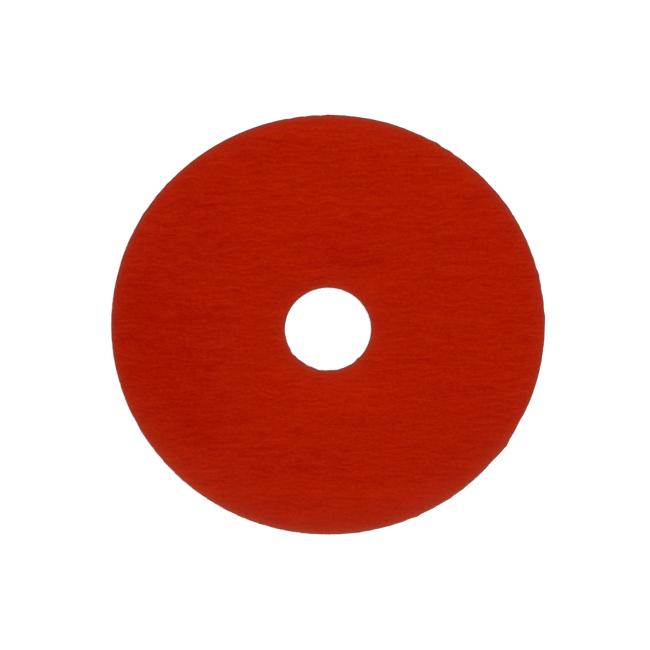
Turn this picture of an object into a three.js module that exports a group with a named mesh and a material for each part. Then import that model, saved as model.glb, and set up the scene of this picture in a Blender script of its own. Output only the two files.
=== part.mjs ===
import * as THREE from 'three';

// A fibre sanding disc: a stiff disc of vulcanised fibre with a coat of red abrasive grain on one face.
// The coat is bonded to a wide web of fibre, and the disc is punched from that web in one stroke, so the
// whole disc is one solid. Millimetres. The disc lies flat on its bare back with its grain side up. The
// origin is the centre of the hole, in the plane of the back.

// Driving dimensions.
const discDiameter = 115;
const holeDiameter = 22.8;
const fibreThickness = 0.8;
const coatThickness = 0.5;

// The punch draws the back edge of the fibre round by this radius, at the rim and at the hole.
const backEdgeRadius = 0.15;

// Grain breaks away beside the cut, so the coat rounds over within this distance of it.
const coatBrow = 0.3;

// Flaws that the punch left in the cut edges. Each is centred at an angle in degrees, counted
// anticlockwise from +X as seen from the grain side. It moves the edge by its reach, in mm away from the
// centre, and dies out over its span, in mm along the edge.
const rimFlaws = [
  // A torn burr of fibre on a longer swelling, with a chip beside it.
  { at: 326.3, reach: 0.26, span: 3 },
  { at: 324.7, reach: 0.23, span: 8 },
  { at: 333.5, reach: -0.19, span: 8 },

  // Smaller burrs.
  { at: 294.8, reach: 0.23, span: 3 },
  { at: 290.4, reach: 0.08, span: 2.4 },
  { at: 304.7, reach: 0.14, span: 3 },
  { at: 309, reach: 0.09, span: 3 },
  { at: 278.2, reach: 0.12, span: 3 },
  { at: 158.9, reach: 0.07, span: 9 },
  { at: 154.9, reach: 0.06, span: 3 },
  { at: 147.4, reach: 0.13, span: 3 },
  { at: 141.1, reach: 0.09, span: 3.4 },
  { at: 137.1, reach: 0.12, span: 2.6 },
  { at: 90, reach: 0.07, span: 2.4 },
  { at: 60.6, reach: 0.14, span: 2.4 },
  { at: 39.9, reach: 0.06, span: 4 },
  { at: 35.2, reach: 0.13, span: 4 },
  { at: 15.2, reach: 0.14, span: 2.6 },
  { at: 2.7, reach: 0.11, span: 4 },

  // Small chips.
  { at: 337.7, reach: -0.1, span: 2.2 },
  { at: 319.5, reach: -0.11, span: 3.4 },
  { at: 296.5, reach: -0.07, span: 2 },
  { at: 239.4, reach: -0.08, span: 9 },
  { at: 205.9, reach: -0.07, span: 6 },
  { at: 99.8, reach: -0.12, span: 3 },
  { at: 95.9, reach: -0.09, span: 2.4 },
  { at: 92, reach: -0.13, span: 3 },
  { at: 67.5, reach: -0.08, span: 10 },
  { at: 62.6, reach: -0.12, span: 2.4 },
  { at: 58.2, reach: -0.1, span: 3 },
  { at: 54.7, reach: -0.11, span: 3 },
  { at: 21.1, reach: -0.12, span: 2.8 },
  { at: 17.2, reach: -0.13, span: 2.6 },
  { at: 10.2, reach: -0.1, span: 5 },
  { at: 6.2, reach: -0.07, span: 4 },

  // Long, shallow swellings and hollows where the blade of the die has worn.
  { at: 150, reach: 0.08, span: 32 },
  { at: 33, reach: 0.08, span: 20 },
  { at: 223.1, reach: -0.07, span: 36 },
];

const holeFlaws = [
  // Burrs that stand into the hole.
  { at: 234, reach: -0.13, span: 3.2 },
  { at: 248, reach: -0.15, span: 2.2 },
  { at: 273, reach: -0.08, span: 3 },
  { at: 313.5, reach: -0.22, span: 1.6 },
  { at: 126, reach: -0.06, span: 6 },

  // Chips that widen it.
  { at: 215, reach: 0.19, span: 2.8 },
  { at: 258, reach: 0.13, span: 2 },
  { at: 283, reach: 0.07, span: 1.6 },
  { at: 304.5, reach: 0.08, span: 1.8 },
];

// Flat steps of the mesh around the disc, and steps in each small rounding of an edge.
const stepsAround = 360;
const stepsInRounding = 2;

const rimRadius = discDiameter / 2;
const holeRadius = holeDiameter / 2;
const thickness = fibreThickness + coatThickness;

// Half of the disc's section, as one closed outline of radius and height. It runs up the rim, in over
// the grain, down the wall of the hole and out again along the back.
function sectionOutline() {
  const section = new THREE.Path();
  section.moveTo(rimRadius - backEdgeRadius, 0);
  section.absarc(rimRadius - backEdgeRadius, backEdgeRadius, backEdgeRadius, -Math.PI / 2, 0);
  section.lineTo(rimRadius, fibreThickness);
  section.absellipse(rimRadius - coatBrow, fibreThickness, coatBrow, coatThickness, 0, Math.PI / 2);
  section.lineTo(holeRadius + coatBrow, thickness);
  section.absellipse(holeRadius + coatBrow, fibreThickness, coatBrow, coatThickness, Math.PI / 2, Math.PI);
  section.lineTo(holeRadius, backEdgeRadius);
  section.absarc(holeRadius + backEdgeRadius, backEdgeRadius, backEdgeRadius, Math.PI, Math.PI * 1.5);
  section.closePath();
  return section.getPoints(stepsInRounding / 2);
}

// How far the flaws move a cut edge of this radius at one angle: a smooth hump for each flaw.
function flawShift(flaws, angle, radius) {
  let shift = 0;
  for (const flaw of flaws) {
    const turn = angle - THREE.MathUtils.degToRad(flaw.at);
    const nearestTurn = Math.atan2(Math.sin(turn), Math.cos(turn));
    const along = Math.abs(nearestTurn) * radius;
    if (along < flaw.span / 2) {
      shift += flaw.reach * Math.cos((Math.PI * along) / flaw.span) ** 2;
    }
  }
  return shift;
}

// Moves each vertex of the two cut edges in or out by the flaws at its angle, at every height alike,
// because the punch tears fibre and coat together.
function tearEdges(geometry) {
  const middleRadius = (rimRadius + holeRadius) / 2;
  const positions = geometry.attributes.position;
  for (let i = 0; i < positions.count; i += 1) {
    const x = positions.getX(i);
    const y = positions.getY(i);
    const radius = Math.hypot(x, y);
    const angle = Math.atan2(y, x);
    const atRim = radius > middleRadius;
    const shift = atRim ? flawShift(rimFlaws, angle, rimRadius) : flawShift(holeFlaws, angle, holeRadius);
    const scale = (radius + shift) / radius;
    positions.setXY(i, x * scale, y * scale);
  }
  geometry.computeVertexNormals();
}

function sandingDisc() {
  const geometry = new THREE.LatheGeometry(sectionOutline(), stepsAround);
  // The section is turned about the upright axis of the lathe, which is laid onto +Z.
  geometry.rotateX(Math.PI / 2);
  tearEdges(geometry);
  // Deep red, matte and gritty: the dyed resin that locks the grain down.
  const redGrain = new THREE.MeshStandardMaterial({ color: 0xac1802, roughness: 0.95, metalness: 0 });
  const disc = new THREE.Mesh(geometry, redGrain);
  disc.name = 'sanding_disc';
  return disc;
}

const part = new THREE.Group();
part.add(sandingDisc());

export default part;
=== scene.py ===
import math

import bpy
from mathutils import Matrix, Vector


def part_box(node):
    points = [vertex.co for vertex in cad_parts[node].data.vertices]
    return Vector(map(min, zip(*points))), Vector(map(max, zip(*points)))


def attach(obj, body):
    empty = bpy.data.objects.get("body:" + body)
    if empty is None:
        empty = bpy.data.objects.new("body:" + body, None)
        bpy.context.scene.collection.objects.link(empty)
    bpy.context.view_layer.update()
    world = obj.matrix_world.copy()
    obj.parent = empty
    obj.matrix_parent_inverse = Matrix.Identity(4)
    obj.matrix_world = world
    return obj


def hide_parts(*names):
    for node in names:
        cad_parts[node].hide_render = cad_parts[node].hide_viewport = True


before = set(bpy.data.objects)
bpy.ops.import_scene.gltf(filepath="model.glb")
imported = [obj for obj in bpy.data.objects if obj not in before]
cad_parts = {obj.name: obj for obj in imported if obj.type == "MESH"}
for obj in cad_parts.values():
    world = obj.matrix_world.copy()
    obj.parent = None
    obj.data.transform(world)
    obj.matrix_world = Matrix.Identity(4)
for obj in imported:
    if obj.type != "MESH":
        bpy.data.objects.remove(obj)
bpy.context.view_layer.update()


# The coated web. Grain and dyed resin lie on a wide sheet of vulcanised fibre, and the disc is punched
# from that sheet. The coat was spread along X, so the grain lies in thin wavy ridges that way. Only the
# coat's surface matters here: the web's underside hangs below the disc and is cut away with the rest.
mm = 0.001
disc_low, disc_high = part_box("sanding_disc")
coat_top = disc_high.z
web_width = 118 * mm
web_depth = 3 * mm
grain_rows = 520
steps_in_a_row = 212
crest_below_top = 0.06 * mm
# Noise is flat at its own origin, so the origin is kept a little off the middle of the disc.
noise_origin = (0.3 * mm, 0.2 * mm, 0.1 * mm)


def clear_selection():
    """Leaves nothing selected and nothing in edit mode."""
    if bpy.context.mode != "OBJECT":
        bpy.ops.object.mode_set(mode="OBJECT")
    bpy.ops.object.select_all(action="DESELECT")


def work_on(piece):
    """Makes the piece the only one selected, and active."""
    clear_selection()
    piece.select_set(True)
    bpy.context.view_layer.objects.active = piece


def stretched_noise(name, size, detail, contrast):
    """Cloudy noise whose patches have the given size in metres, and the empty that stretches it."""
    noise = bpy.data.textures.new(name, "CLOUDS")
    noise.noise_scale = 1
    noise.noise_depth = detail
    noise.noise_basis = "IMPROVED_PERLIN"
    noise.contrast = contrast
    bpy.ops.object.empty_add(location=noise_origin)
    stretch = bpy.context.object
    stretch.name = name + "_stretch"
    stretch.scale = size
    return noise, stretch


def push(piece, name, size, detail, contrast, direction, travel, group=""):
    """Moves the piece's vertices by stretched noise, up to half the travel each way."""
    noise, stretch = stretched_noise(name, size, detail, contrast)
    work_on(piece)
    shift = piece.modifiers.new(name, "DISPLACE")
    shift.texture = noise
    shift.texture_coords = "OBJECT"
    shift.texture_coords_object = stretch
    shift.direction = direction
    shift.mid_level = 0.5
    shift.strength = travel
    shift.vertex_group = group
    bpy.ops.object.modifier_apply(modifier=name)
    bpy.data.objects.remove(stretch)
    bpy.data.textures.remove(noise)


clear_selection()
bpy.ops.mesh.primitive_grid_add(
    x_subdivisions=steps_in_a_row,
    y_subdivisions=grain_rows,
    size=web_width,
    location=(0, 0, coat_top - crest_below_top),
)
web = bpy.context.object
web.name = "coated_web"
bpy.ops.object.transform_apply(location=True, rotation=False, scale=False)
ridge_size = (6 * mm, 0.8 * mm, 1 * mm)
clump_size = (1.6 * mm, 0.7 * mm, 1 * mm)
waver_size = (7 * mm, 4 * mm, 1 * mm)
push(web, "ridges", ridge_size, detail=2, contrast=1.6, direction="Z", travel=0.11 * mm)
push(web, "clumps", clump_size, detail=1, contrast=1.4, direction="Z", travel=0.07 * mm)
push(web, "waver", waver_size, detail=1, contrast=1.0, direction="Y", travel=1.6 * mm)

# The edge of the sheet is drawn down and closed, which gives the die a solid body to cut.
work_on(web)
bpy.ops.object.mode_set(mode="EDIT")
bpy.ops.mesh.select_mode(type="EDGE")
bpy.ops.mesh.select_all(action="DESELECT")
bpy.ops.mesh.select_non_manifold()
bpy.ops.mesh.extrude_region_move(TRANSFORM_OT_translate={"value": (0, 0, -web_depth)})
bpy.ops.transform.resize(value=(1, 1, 0))
bpy.ops.mesh.edge_face_add()
bpy.ops.mesh.select_all(action="SELECT")
bpy.ops.mesh.normals_make_consistent(inside=False)
bpy.ops.object.mode_set(mode="OBJECT")


# The die that punches the disc out of the web. It has the disc's own outline, with the burrs and chips
# that the real one left in the edge, and it is roughened a little more: fibre tears in small steps, and
# grain breaks away from the cut in finer ones.
fibre_top = 0.8 * mm
rim_cuts = 3
near_the_rim = 50 * mm
longest_step = 1.5 * mm
level = 0.02 * mm
merge_distance = 0.001 * mm
tear_size = (1.6 * mm, 1.6 * mm, 4 * mm)
lost_grain_size = (0.5 * mm, 0.5 * mm, 0.5 * mm)
sharpest_smooth_angle = math.radians(40)

work_on(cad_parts["sanding_disc"])
bpy.ops.object.duplicate()
die = bpy.context.object
die.name = "punching_die"
die.parent = None
die.data.materials.clear()
bpy.ops.object.mode_set(mode="EDIT")
bpy.ops.mesh.select_all(action="SELECT")
bpy.ops.mesh.remove_doubles(threshold=merge_distance)
bpy.ops.mesh.select_mode(type="EDGE")
bpy.ops.mesh.select_all(action="DESELECT")
bpy.ops.object.mode_set(mode="OBJECT")
for edge in die.data.edges:
    a, b = (die.data.vertices[i].co for i in edge.vertices)
    at_rim = math.hypot(a.x, a.y) > near_the_rim and math.hypot(b.x, b.y) > near_the_rim
    edge.select = at_rim and abs(a.z - b.z) < level and (a - b).length < longest_step
bpy.ops.object.mode_set(mode="EDIT")
bpy.ops.mesh.subdivide(number_cuts=rim_cuts)
bpy.ops.object.mode_set(mode="OBJECT")

brow = die.vertex_groups.new(name="brow")
brow.add([v.index for v in die.data.vertices if v.co.z > fibre_top + level], 1, "REPLACE")
for axis in ("X", "Y"):
    push(die, "tearing_" + axis, tear_size, detail=2, contrast=1.6, direction=axis, travel=0.14 * mm)
    push(
        die,
        "grain_loss_" + axis,
        lost_grain_size,
        detail=1,
        contrast=1.8,
        direction=axis,
        travel=0.16 * mm,
        group="brow",
    )

work_on(web)
cut = web.modifiers.new("punch", "BOOLEAN")
cut.operation = "INTERSECT"
cut.object = die
cut.solver = "MANIFOLD"
bpy.ops.object.modifier_apply(modifier="punch")
bpy.data.objects.remove(die)

disc = web
disc.name = "punched_disc"
disc.data.name = "punched_disc"
bpy.ops.object.shade_smooth_by_angle(angle=sharpest_smooth_angle)


# The two finishes of the disc. The coat is alumina grain under a size coat of deep red dyed resin, matte
# and gritty. The fibre is paper felted and hardened with zinc chloride, dyed brick red, and shows on the
# back and on the cut walls. Both carry fine wavy lines along the web, from the machines that made them.
def new_group(name, inputs, outputs):
    """A shader node group with float and vector sockets. Returns the tree and its two end nodes."""
    tree = bpy.data.node_groups.new(name, "ShaderNodeTree")
    for socket, kind, value in inputs:
        made = tree.interface.new_socket(name=socket, in_out="INPUT", socket_type=kind)
        if value is not None:
            made.default_value = value
    for socket, kind in outputs:
        tree.interface.new_socket(name=socket, in_out="OUTPUT", socket_type=kind)
    return tree, tree.nodes.new("NodeGroupInput"), tree.nodes.new("NodeGroupOutput")


def maths(tree, operation, first, second):
    """A Math node whose two inputs are sockets or numbers."""
    node = tree.nodes.new("ShaderNodeMath")
    node.operation = operation
    for socket, value in zip(node.inputs, (first, second)):
        if isinstance(value, (int, float)):
            socket.default_value = value
        else:
            tree.links.new(value, socket)
    return node.outputs["Value"]


def spread(tree, value, low, high):
    """Stretches a value so that low becomes 0 and high becomes 1, held between them."""
    node = tree.nodes.new("ShaderNodeMapRange")
    node.inputs["From Min"].default_value = low
    node.inputs["From Max"].default_value = high
    tree.links.new(value, node.inputs["Value"])
    return node.outputs["Result"]


# Lines along the web: noise stretched along X, whose rows waver.
streaks, ends_in, ends_out = new_group(
    "web_streaks",
    [
        ("Position", "NodeSocketVector", None),
        ("Length", "NodeSocketFloat", 4),
        ("Height", "NodeSocketFloat", 0.5),
        ("Waver", "NodeSocketFloat", 1),
        ("Layer", "NodeSocketFloat", 0),
    ],
    [("Streak", "NodeSocketFloat")],
)
wander = streaks.nodes.new("ShaderNodeTexNoise")
wander.inputs["Scale"].default_value = 0.2
wander.inputs["Detail"].default_value = 2.5
streaks.links.new(ends_in.outputs["Position"], wander.inputs["Vector"])
apart = streaks.nodes.new("ShaderNodeSeparateXYZ")
streaks.links.new(ends_in.outputs["Position"], apart.inputs["Vector"])
offset = maths(streaks, "SUBTRACT", wander.outputs["Fac"], 0.5)
offset = maths(streaks, "MULTIPLY", offset, ends_in.outputs["Waver"])
wavy = maths(streaks, "ADD", apart.outputs["Y"], offset)
along = maths(streaks, "DIVIDE", apart.outputs["X"], ends_in.outputs["Length"])
across = maths(streaks, "DIVIDE", wavy, ends_in.outputs["Height"])
together = streaks.nodes.new("ShaderNodeCombineXYZ")
streaks.links.new(along, together.inputs["X"])
streaks.links.new(across, together.inputs["Y"])
streaks.links.new(ends_in.outputs["Layer"], together.inputs["Z"])
rows = streaks.nodes.new("ShaderNodeTexNoise")
rows.inputs["Scale"].default_value = 1
rows.inputs["Detail"].default_value = 2
streaks.links.new(together.outputs["Vector"], rows.inputs["Vector"])
streaks.links.new(spread(streaks, rows.outputs["Fac"], 0.25, 0.75), ends_out.inputs["Streak"])


def streak_layer(tree, position, length, height, waver, layer):
    """One placing of the streaks in a material, with its own sizes in millimetres."""
    node = tree.nodes.new("ShaderNodeGroup")
    node.node_tree = streaks
    node.inputs["Length"].default_value = length
    node.inputs["Height"].default_value = height
    node.inputs["Waver"].default_value = waver
    node.inputs["Layer"].default_value = layer
    tree.links.new(position, node.inputs["Position"])
    return node.outputs["Streak"]


def material_start(name):
    """A material with its Principled shader and the object's position in millimetres."""
    made = bpy.data.materials.new(name)
    made.use_nodes = True
    tree = made.node_tree
    shader = tree.nodes["Principled BSDF"]
    place = tree.nodes.new("ShaderNodeTexCoord")
    millimetres = tree.nodes.new("ShaderNodeMapping")
    millimetres.inputs["Scale"].default_value = (1 / mm, 1 / mm, 1 / mm)
    tree.links.new(place.outputs["Object"], millimetres.inputs["Vector"])
    return made, tree, shader, millimetres.outputs["Vector"]


def weighted(tree, parts):
    """A half, plus each mask's distance from a half times its weight."""
    total = 0.5
    for mask, weight in parts:
        from_half = maths(tree, "SUBTRACT", mask, 0.5)
        total = maths(tree, "ADD", maths(tree, "MULTIPLY", from_half, weight), total)
    return total


def mixed(tree, mask, first, second):
    """Runs from the first colour to the second as the mask goes from 0 to 1. Each is numbers or a socket."""
    node = tree.nodes.new("ShaderNodeMix")
    node.data_type = "RGBA"
    for socket, colour in (("A", first), ("B", second)):
        if isinstance(colour, tuple):
            node.inputs[socket].default_value = (*colour, 1)
        else:
            tree.links.new(colour, node.inputs[socket])
    tree.links.new(mask, node.inputs["Factor"])
    return node.outputs["Result"]


# How far a place lies in from the rim and from the hole, in millimetres, and how near it is to the -Y
# end of the disc's outer half, from 0 to 1.
rim_radius = 57.5
hole_radius = 11.4
outer_half_starts = 30
outer_half_full = 50
south_starts = -0.2
south_full = -0.9
edges, ends_in, ends_out = new_group(
    "cut_edges",
    [("Position", "NodeSocketVector", None)],
    [("Rim", "NodeSocketFloat"), ("Hole", "NodeSocketFloat"), ("South", "NodeSocketFloat")],
)
flat = edges.nodes.new("ShaderNodeVectorMath")
flat.operation = "MULTIPLY"
flat.inputs[1].default_value = (1, 1, 0)
edges.links.new(ends_in.outputs["Position"], flat.inputs[0])
length = edges.nodes.new("ShaderNodeVectorMath")
length.operation = "LENGTH"
edges.links.new(flat.outputs["Vector"], length.inputs[0])
radius = length.outputs["Value"]
apart = edges.nodes.new("ShaderNodeSeparateXYZ")
edges.links.new(flat.outputs["Vector"], apart.inputs["Vector"])
from_rim = maths(edges, "SUBTRACT", rim_radius, radius)
edges.links.new(maths(edges, "MAXIMUM", from_rim, 0), ends_out.inputs["Rim"])
from_hole = maths(edges, "SUBTRACT", radius, hole_radius)
edges.links.new(maths(edges, "MAXIMUM", from_hole, 0), ends_out.inputs["Hole"])
northing = maths(edges, "DIVIDE", apart.outputs["Y"], radius)
southing = spread(edges, northing, south_starts, south_full)
outer_half = spread(edges, radius, outer_half_starts, outer_half_full)
edges.links.new(maths(edges, "MULTIPLY", southing, outer_half), ends_out.inputs["South"])


def soft_patch(tree, position, x, y, reach_x, reach_y):
    """A soft round or oval patch, 1 in its middle and 0 beyond its reach, in millimetres."""
    place = tree.nodes.new("ShaderNodeMapping")
    place.inputs["Location"].default_value = (-x / reach_x, -y / reach_y, 0)
    place.inputs["Scale"].default_value = (1 / reach_x, 1 / reach_y, 0)
    tree.links.new(position, place.inputs["Vector"])
    away = tree.nodes.new("ShaderNodeVectorMath")
    away.operation = "LENGTH"
    tree.links.new(place.outputs["Vector"], away.inputs[0])
    fade = tree.nodes.new("ShaderNodeMapRange")
    fade.interpolation_type = "SMOOTHERSTEP"
    fade.inputs["From Min"].default_value = 1
    fade.inputs["From Max"].default_value = 0
    tree.links.new(away.outputs["Value"], fade.inputs["Value"])
    return fade.outputs["Result"]


# The coat's tone runs between these two reds along its wavy lines. The lines are the coat's own; the paler
# end, whose green and blue rise too, is partly painted sheen on their ridges.
deep_red = (0.37, 0.0045, 0.0)
bright_red = (0.504, 0.0155, 0.001)
# A paler, greyer red, painted light laid on beside the cut as glare from the white floor.
painted_glare_red = (0.4, 0.072, 0.034)
# A darker red, painted shade at the cut for the rounded brow that faces sideways.
edge_shade_red = (0.29, 0.038, 0.022)
coat, tree, shader, position = material_start("red_grain_coat")
fine = streak_layer(tree, position, length=5.0, height=0.72, waver=2.6, layer=0)
broad = streak_layer(tree, position, length=22, height=1.9, waver=4.2, layer=7)
grain = streak_layer(tree, position, length=0.9, height=0.7, waver=0.6, layer=19)
tone = weighted(tree, [(fine, 0.6), (broad, 0.42), (grain, 0.6)])

# Lighter and darker patches on the coat: x, y, reach in x and in y, and how much lighter. They darken the -X
# side and lighten the +Y end as painted shade and painted light, and otherwise make the tone uneven.
tone_and_painted_light_patches = [
    (2, -16, 28, 15, 0.2),
    (-50, -2, 34, 44, -0.25),
    (-34, -24, 18, 14, -0.14),
    (-30, 22, 22, 10, -0.04),
    (-34, 31, 15, 9, -0.1),
    (6, 21, 19, 7, -0.18),
    (36, -26, 17, 16, -0.09),
    (-6, -37, 40, 8, -0.08),
    (28, 44, 22, 14, 0.06),
    (-2, 37, 12, 9, 0.08),
    (-4, -46, 34, 8, 0.04),
    (1, -45.0, 40, 2.2, 0.18),
    (22, -47, 16, 8, 0.09),
    (2, 55, 44, 10, 0.13),
    (31, 34, 12, 7, 0.1),
]
for x, y, reach_x, reach_y, lighter in tone_and_painted_light_patches:
    patch = soft_patch(tree, position, x, y, reach_x, reach_y)
    tone = maths(tree, "ADD", tone, maths(tree, "MULTIPLY", patch, lighter))
red = mixed(tree, tone, deep_red, bright_red)

# Single grains, about a fifth of a millimetre across, each a blunt point, and the crumbs between them.
grit_size = 0.22
crumbs_to_a_grain = 2
grain_cells = tree.nodes.new("ShaderNodeTexVoronoi")
grain_cells.inputs["Scale"].default_value = 1 / grit_size
tree.links.new(position, grain_cells.inputs["Vector"])
grit_point = maths(tree, "SUBTRACT", 1, grain_cells.outputs["Distance"])
crumbs = tree.nodes.new("ShaderNodeTexNoise")
crumbs.inputs["Scale"].default_value = crumbs_to_a_grain / grit_size
crumbs.inputs["Detail"].default_value = 3
tree.links.new(position, crumbs.inputs["Vector"])

# Beside the cut a pale haze is painted light, standing in for glare from the white floor around the disc,
# and at the cut a darker, duller band is painted shade, as on the rounded brow that faces sideways.
# Both follow the grains, so their border is ragged. The haze reaches further at the -Y end.
glare_everywhere = 0.2
more_glare_in_the_south = 0.3
glare_core = 0.12
glare_dies_below = 0.022
thickest_glare = 0.9
raggedness = 1.4
deepest_edge_shade = 0.9
less_edge_shade_in_the_south = 0.4
edge_shade_within = 0.2
edge_shade_ends_beyond = 0.7
cut_edges = tree.nodes.new("ShaderNodeGroup")
cut_edges.node_tree = edges
tree.links.new(position, cut_edges.inputs["Position"])
south = cut_edges.outputs["South"]
glare_reach = maths(tree, "MULTIPLY", south, more_glare_in_the_south)
glare_reach = maths(tree, "ADD", glare_reach, glare_everywhere)
from_cut = maths(tree, "MINIMUM", cut_edges.outputs["Rim"], cut_edges.outputs["Hole"])
uneven = maths(tree, "SUBTRACT", crumbs.outputs["Fac"], 0.5)
ragged = maths(tree, "ADD", from_cut, maths(tree, "MULTIPLY", uneven, raggedness))
# The painted glare: pale haze that fades away from the cut.
painted_glare = maths(tree, "DIVIDE", glare_reach, maths(tree, "ADD", from_cut, glare_core))
painted_glare = maths(tree, "MULTIPLY", painted_glare, spread(tree, crumbs.outputs["Fac"], 0.1, 0.5))
painted_glare = maths(tree, "MAXIMUM", maths(tree, "SUBTRACT", painted_glare, glare_dies_below), 0)
painted_glare = maths(tree, "MINIMUM", painted_glare, thickest_glare)
red = mixed(tree, painted_glare, red, painted_glare_red)
# The darker band at the cut is painted shade for the sideways-facing brow; it is lighter at the -Y end.
painted_edge_shade = maths(tree, "SUBTRACT", deepest_edge_shade, maths(tree, "MULTIPLY", south, less_edge_shade_in_the_south))
painted_edge_shade = maths(tree, "MULTIPLY", painted_edge_shade, spread(tree, ragged, edge_shade_ends_beyond, edge_shade_within))
red = mixed(tree, painted_edge_shade, red, edge_shade_red)
tree.links.new(red, shader.inputs["Base Color"])
shader.inputs["Roughness"].default_value = 0.85
shader.inputs["Specular IOR Level"].default_value = 0.005
relief = weighted(tree, [(grain, 1), (grit_point, 0.8), (crumbs.outputs["Fac"], 0.2)])
grit_bump = tree.nodes.new("ShaderNodeBump")
grit_bump.inputs["Strength"].default_value = 1
grit_bump.inputs["Distance"].default_value = 0.11 * mm
tree.links.new(relief, grit_bump.inputs["Height"])
tree.links.new(grit_bump.outputs["Normal"], shader.inputs["Normal"])

dark_brick = (0.36, 0.05, 0.026)
pale_brick = (0.49, 0.08, 0.044)
fibre, tree, shader, position = material_start("bare_fibre")
felt = streak_layer(tree, position, length=9, height=0.7, waver=1.2, layer=31)
speck = streak_layer(tree, position, length=0.8, height=0.6, waver=0.3, layer=43)

# The fibre is many thin papers, whose cut ends show as fine lines along the wall.
papers_in_a_millimetre = (0.5, 0.5, 9)
papers = tree.nodes.new("ShaderNodeTexNoise")
papers.inputs["Scale"].default_value = 1
papers.inputs["Detail"].default_value = 2
layers = tree.nodes.new("ShaderNodeMapping")
layers.inputs["Scale"].default_value = papers_in_a_millimetre
tree.links.new(position, layers.inputs["Vector"])
tree.links.new(layers.outputs["Vector"], papers.inputs["Vector"])
paper_ends = spread(tree, papers.outputs["Fac"], 0.3, 0.7)
tone = weighted(tree, [(felt, 0.4), (speck, 0.3), (paper_ends, 0.6)])
brick = mixed(tree, tone, dark_brick, pale_brick)
tree.links.new(brick, shader.inputs["Base Color"])
shader.inputs["Roughness"].default_value = 0.62
shader.inputs["Specular IOR Level"].default_value = 0.3
nap = tree.nodes.new("ShaderNodeBump")
nap.inputs["Strength"].default_value = 0.5
nap.inputs["Distance"].default_value = 0.3 * mm
tree.links.new(tone, nap.inputs["Height"])
tree.links.new(nap.outputs["Normal"], shader.inputs["Normal"])

disc.data.materials.clear()
disc.data.materials.append(coat)
disc.data.materials.append(fibre)
for face in disc.data.polygons:
    face.material_index = 1 if face.center.z < fibre_top else 0

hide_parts("sanding_disc")
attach(disc, "root")


# The floor is plain white paper. It takes the disc's shadow, and its own faint glow to the camera makes
# the rest of it as white as the photo's ground.
floor_width = 6
floor_clearance = 0.02 * mm
paper_white = (0.9, 0.9, 0.9, 1)
paper_glow = 0.45
bpy.ops.mesh.primitive_plane_add(size=floor_width, location=(0, 0, disc_low.z - floor_clearance))
floor = bpy.context.object
floor.name = "floor"
paper = bpy.data.materials.new("white_paper")
paper.use_nodes = True
tree = paper.node_tree
shader = tree.nodes["Principled BSDF"]
shader.inputs["Base Color"].default_value = paper_white
shader.inputs["Roughness"].default_value = 1
shader.inputs["Specular IOR Level"].default_value = 0
shader.inputs["Emission Color"].default_value = (1, 1, 1, 1)
ray = tree.nodes.new("ShaderNodeLightPath")
glow = maths(tree, "MULTIPLY", ray.outputs["Is Camera Ray"], paper_glow)
tree.links.new(glow, shader.inputs["Emission Strength"])
floor.data.materials.append(paper)


# The studio: a white room that the camera sees as pure white, though it lights the disc less than that,
# and two large soft lamps. The key lamp stands at the disc's near right and the fill lamp at its left.
room = bpy.data.worlds.new("white_room")
bpy.context.scene.world = room
room.use_nodes = True
tree = room.node_tree
backdrop = tree.nodes["Background"]
ray = tree.nodes.new("ShaderNodeLightPath")
seen = maths(tree, "MAXIMUM", ray.outputs["Is Camera Ray"], ray.outputs["Is Glossy Ray"])
seen = maths(tree, "MAXIMUM", seen, ray.outputs["Is Transmission Ray"])
room_light = 0.55
strength = maths(tree, "ADD", maths(tree, "MULTIPLY", seen, 1 - room_light), room_light)
tree.links.new(strength, backdrop.inputs["Strength"])
backdrop.inputs["Color"].default_value = (1, 1, 1, 1)


def soft_lamp(name, size, watts, place):
    """A square soft lamp that faces the middle of the disc."""
    bpy.ops.object.light_add(type="AREA", location=place)
    lamp = bpy.context.object
    lamp.name = name
    lamp.data.shape = "SQUARE"
    lamp.data.size = size
    lamp.data.energy = watts
    lamp.rotation_euler = lamp.location.to_track_quat("Z", "Y").to_euler()


soft_lamp("key_lamp", size=0.8, watts=7.3, place=(0.5, 0.6, 0.95))
soft_lamp("fill_lamp", size=0.9, watts=2.5, place=(-0.8, -0.2, 0.9))


# The camera looks down on the disc from 15 degrees off its axis, with the nearer edge at the top of the
# image. The small shift centres the disc as it lies in the photo.
camera_tilt = math.radians(14.87)
camera_distance = 0.652
disc_right_of_centre = 3.05
disc_below_centre = 3.76
image_width = 650
bpy.ops.object.camera_add(
    location=(0, camera_distance * math.sin(camera_tilt), camera_distance * math.cos(camera_tilt)),
    rotation=(-camera_tilt, 0, 0),
)
camera = bpy.context.object
camera.name = "camera"
camera.data.sensor_width = 36
camera.data.lens = 136
camera.data.shift_x = -disc_right_of_centre / image_width
camera.data.shift_y = disc_below_centre / image_width
bpy.context.scene.camera = camera
bpy.context.scene.view_settings.view_transform = "Standard"
